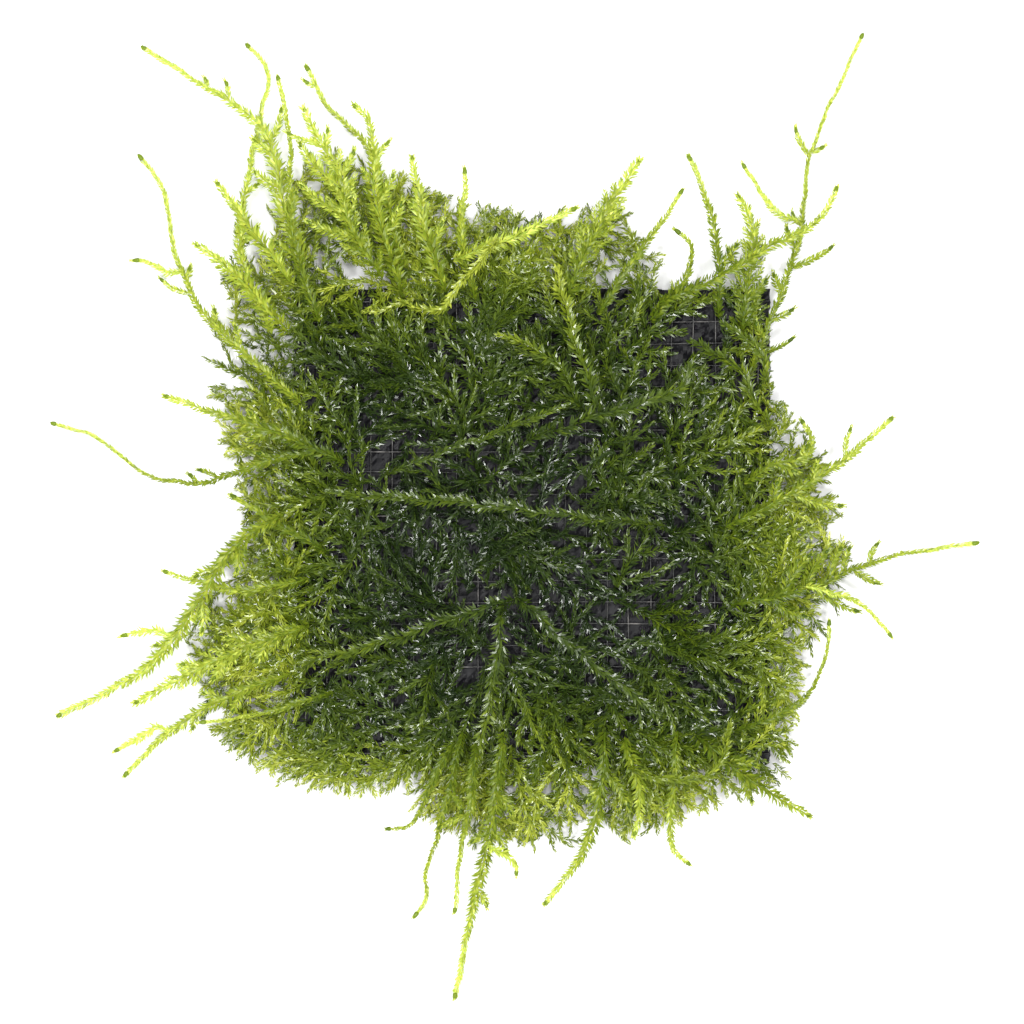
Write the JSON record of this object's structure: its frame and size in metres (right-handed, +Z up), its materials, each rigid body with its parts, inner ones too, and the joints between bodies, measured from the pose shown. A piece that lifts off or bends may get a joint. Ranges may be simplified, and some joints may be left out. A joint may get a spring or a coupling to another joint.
{
  "type": "aquarium moss clump on a netted mat",
  "caption": "Square black porous mat under a fine net, covered by a carpet of tangled leafy moss shoots, with long shoots trailing over its edges.",
  "frame": {"origin": "centre of the mat's flat underside", "axes": "+Z up, away from the surface that the mat lies on; the mat's sides run along X and Y, with the longest trailing shoot to -X and the thinly covered edge to +X"},
  "size_m": [0.1557, 0.1621, 0.0178],
  "materials": {
    "mat": "wet porous black, matt with small glints",
    "net": "fine pale grey-brown thread",
    "moss_carpet": "wet leaves, dark to mid green with small glints",
    "moss_over_mat": "wet leaves, fresh green",
    "moss_trailing": "thin translucent leaves, yellow-green"
  },
  "bodies": {
    "root": {"mat": "mat", "net": "net", "small_shoots": "moss_carpet", "upper_left_hook": "moss_trailing", "upper_left_runner": "moss_trailing", "upper_left_spear": "moss_trailing", "upper_left_crook": "moss_trailing", "upper_left_plume": "moss_trailing", "upper_left_feather": "moss_trailing", "upper_left_sprig": "moss_trailing", "upper_left_bud": "moss_trailing", "left_corner_runner": "moss_trailing", "left_corner_twig": "moss_trailing", "left_runner": "moss_trailing", "left_upper_shoot": "moss_trailing", "left_lower_shoot": "moss_trailing", "left_low_sprig": "moss_trailing", "lower_left_runner": "moss_trailing", "lower_left_arm": "moss_trailing", "lower_left_twig": "moss_trailing", "lower_left_fork": "moss_trailing", "lower_left_fork_branch": "moss_trailing", "lower_left_stem": "moss_trailing", "top_left_shoot": "moss_trailing", "top_left_spike": "moss_trailing", "top_middle_shoot": "moss_trailing", "top_middle_plume": "moss_trailing", "top_middle_spike": "moss_trailing", "top_right_hook": "moss_trailing", "top_right_feather": "moss_trailing", "top_right_plume": "moss_trailing", "upper_right_runner": "moss_trailing", "upper_right_branch": "moss_trailing", "upper_right_shoot": "moss_trailing", "pale_upper_tip": "moss_over_mat", "pale_centre_tip": "moss_over_mat", "centre_upright": "moss_over_mat", "right_corner_shoot": "moss_over_mat", "right_corner_sprig": "moss_over_mat", "hooked_shoot": "moss_over_mat", "upper_cross_shoot": "moss_over_mat", "long_cross_shoot": "moss_over_mat", "hub_left_shoot": "moss_over_mat", "hub_lower_shoot": "moss_over_mat", "hub_right_shoot": "moss_over_mat", "right_upper_shoot": "moss_trailing", "right_short_shoot": "moss_trailing", "right_runner": "moss_trailing", "right_lower_twig": "moss_trailing", "right_hook": "moss_trailing", "bottom_runner": "moss_trailing", "bottom_runner_branch": "moss_trailing", "bottom_left_rope": "moss_trailing", "bottom_left_shoot": "moss_trailing", "bottom_left_sprig": "moss_trailing", "bottom_right_shoot": "moss_trailing", "bottom_right_sprig": "moss_trailing", "bottom_right_hook": "moss_trailing", "lower_right_shoot": "moss_trailing", "lower_right_curl": "moss_over_mat"}
  },
  "joints": []
}
